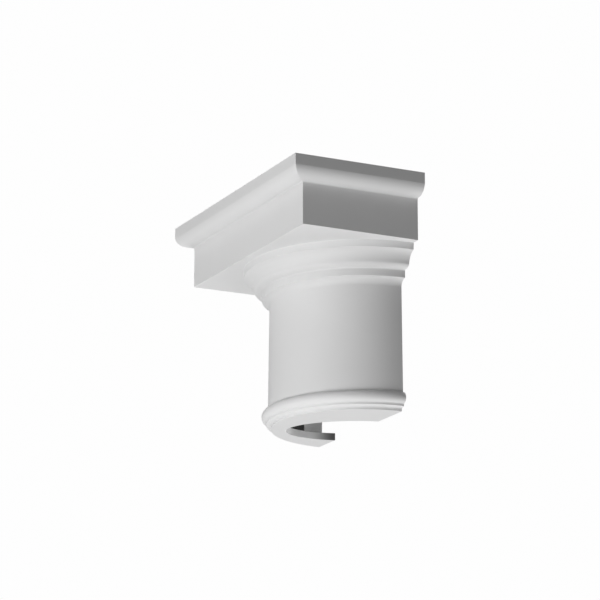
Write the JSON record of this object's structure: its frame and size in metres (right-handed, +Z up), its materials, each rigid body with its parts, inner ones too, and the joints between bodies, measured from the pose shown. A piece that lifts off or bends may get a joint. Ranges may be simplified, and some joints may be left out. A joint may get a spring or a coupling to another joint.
{
  "type": "half-round column capital",
  "caption": "Hollow half-round Tuscan capital: moulded square abacus, cyma and bands, plain neck with a bead, open at the back and under the foot.",
  "frame": {"origin": "under the middle of the bounding box, on the plane of the foot", "axes": "+Z up towards the abacus, -Y the front, +Y the open back that goes against the wall, +X along the wall"},
  "size_m": [0.4, 0.199, 0.323],
  "materials": {
    "primed_polyurethane": "matt white primer on rigid polyurethane"
  },
  "bodies": {
    "root": {"half_round_capital": "primed_polyurethane"}
  },
  "joints": []
}
